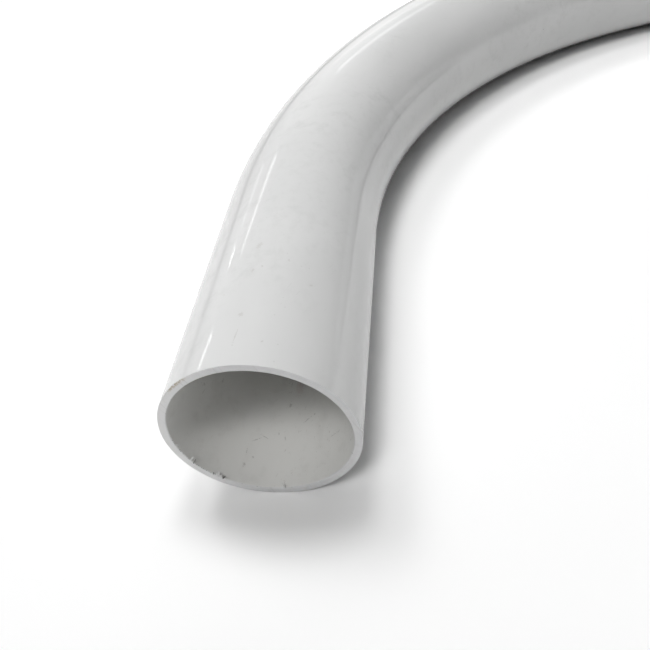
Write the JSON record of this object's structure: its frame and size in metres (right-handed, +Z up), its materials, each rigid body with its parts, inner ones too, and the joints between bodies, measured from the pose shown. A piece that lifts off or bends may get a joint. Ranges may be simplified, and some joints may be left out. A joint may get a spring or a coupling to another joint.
{
  "type": "conduit elbow",
  "caption": "Quarter-turn sweep elbow of glossy white rigid PVC conduit, plain sawn ends, for joining two conduit runs at a right angle.",
  "frame": {"origin": "centre of end A's opening, in the plane of its sawn face", "axes": "end A faces -Y and its straight leg runs along +Y; the bend turns towards +X and end B faces +X; +Z is up with the elbow lying flat"},
  "size_m": [1.1254, 1.1254, 0.1682],
  "materials": {
    "white_pvc": "glossy extruded white PVC, satin in the bore and on the sawn ends"
  },
  "bodies": {
    "root": {"elbow": "white_pvc"}
  },
  "joints": []
}
